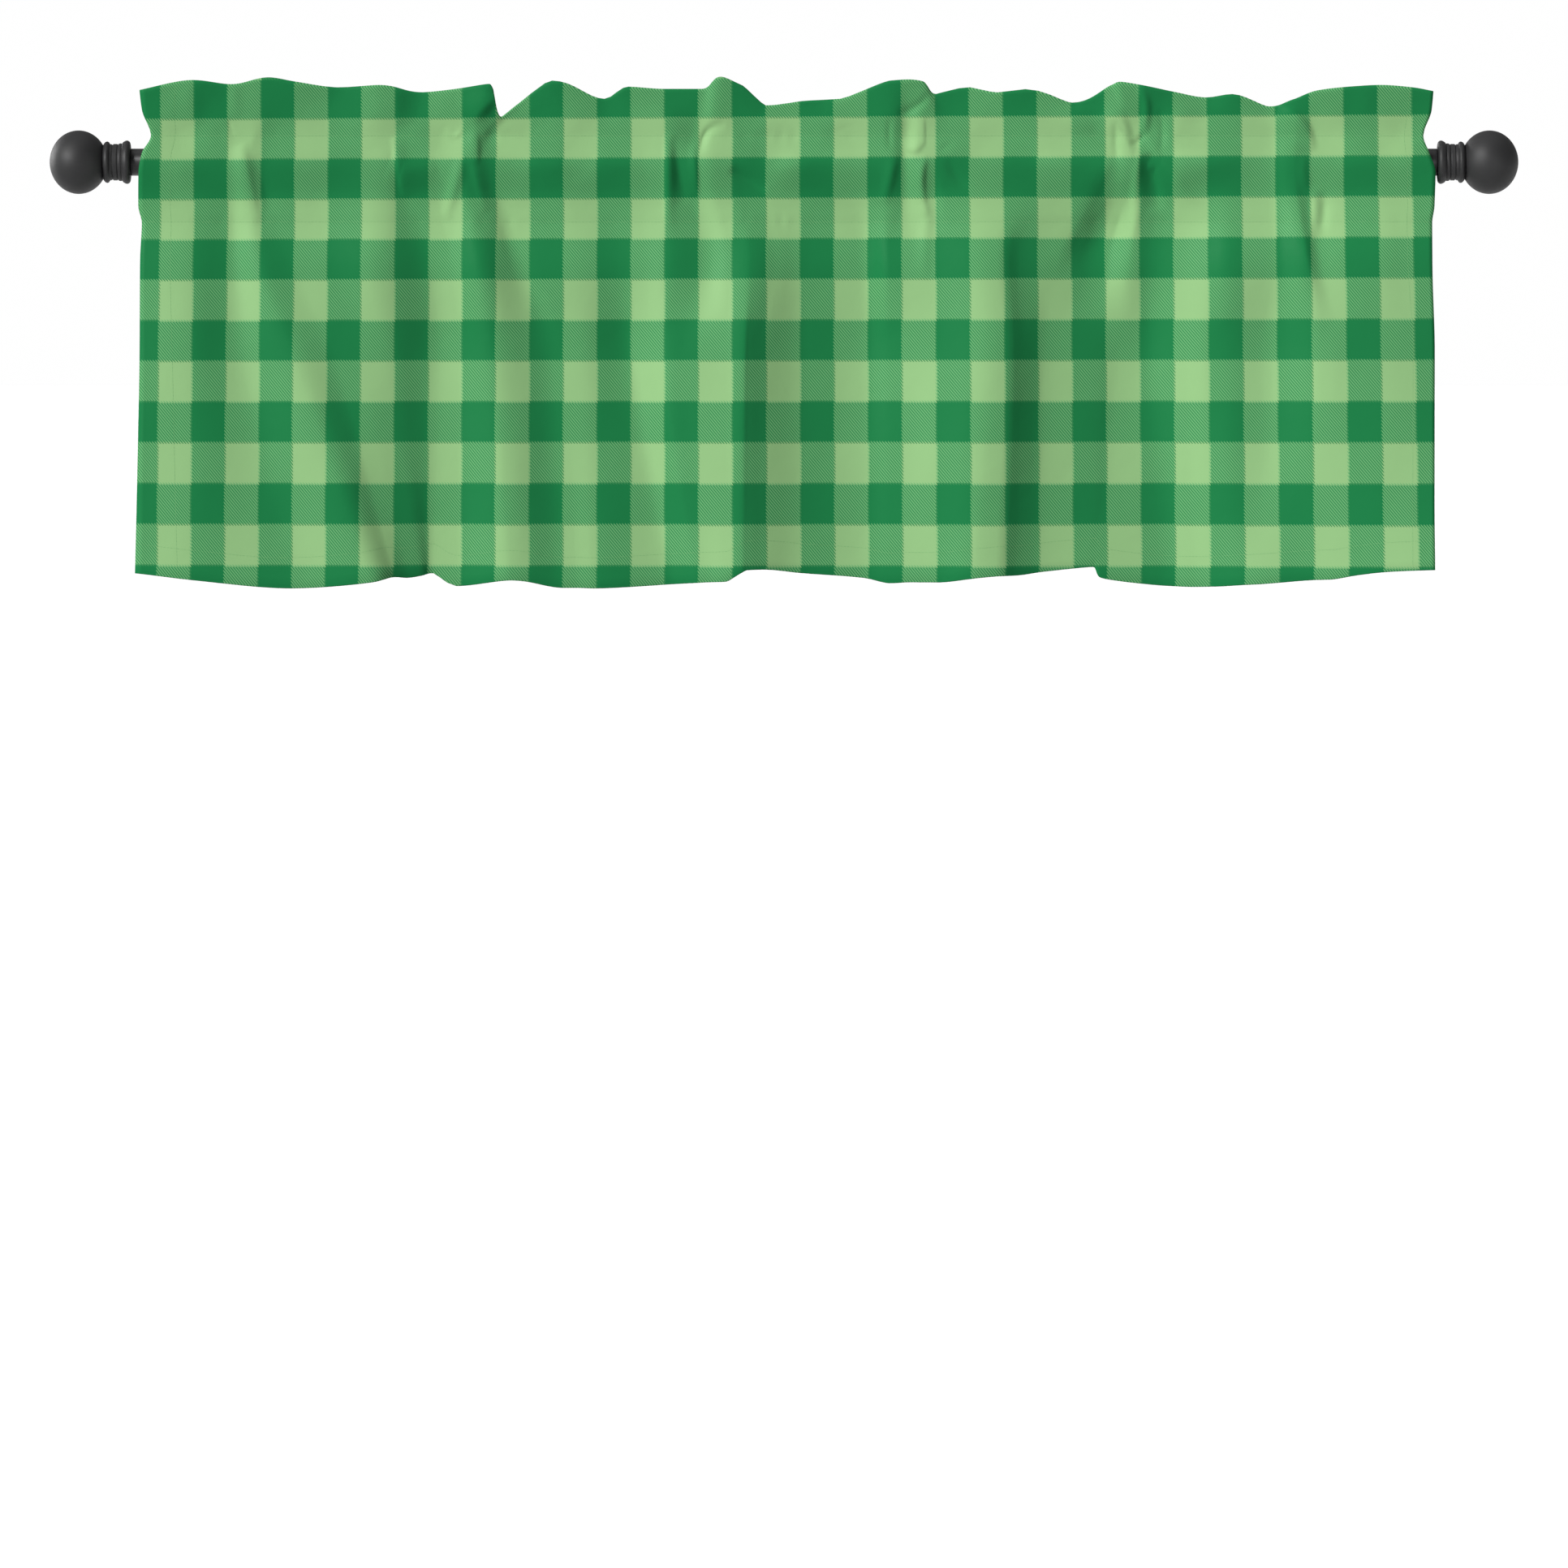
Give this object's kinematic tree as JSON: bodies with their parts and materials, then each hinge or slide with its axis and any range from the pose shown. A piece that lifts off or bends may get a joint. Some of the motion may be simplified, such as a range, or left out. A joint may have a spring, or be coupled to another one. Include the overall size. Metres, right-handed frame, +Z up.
{
  "type": "window valance on a curtain rod",
  "caption": "Gathered rod-pocket window valance in two-tone green gingham cotton, hanging on a black rod with ball finials.",
  "frame": {"origin": "on the rod's axis, half way between its ends, where wall brackets would hold the rod level", "axes": "+X along the rod to the viewer's right, +Y from the room towards the wall, +Z up; the cloth's face looks along -Y"},
  "size_m": [1.3538, 0.0594, 0.4692],
  "materials": {
    "check_cloth": "plain woven cotton printed with a two-tone green gingham, matt",
    "black_metal": "satin black paint on a round steel tube",
    "black_resin": "satin black painted resin"
  },
  "bodies": {
    "root": {"valance": "check_cloth", "rod": "black_metal", "finial_left": "black_resin", "finial_right": "black_resin"}
  },
  "joints": []
}
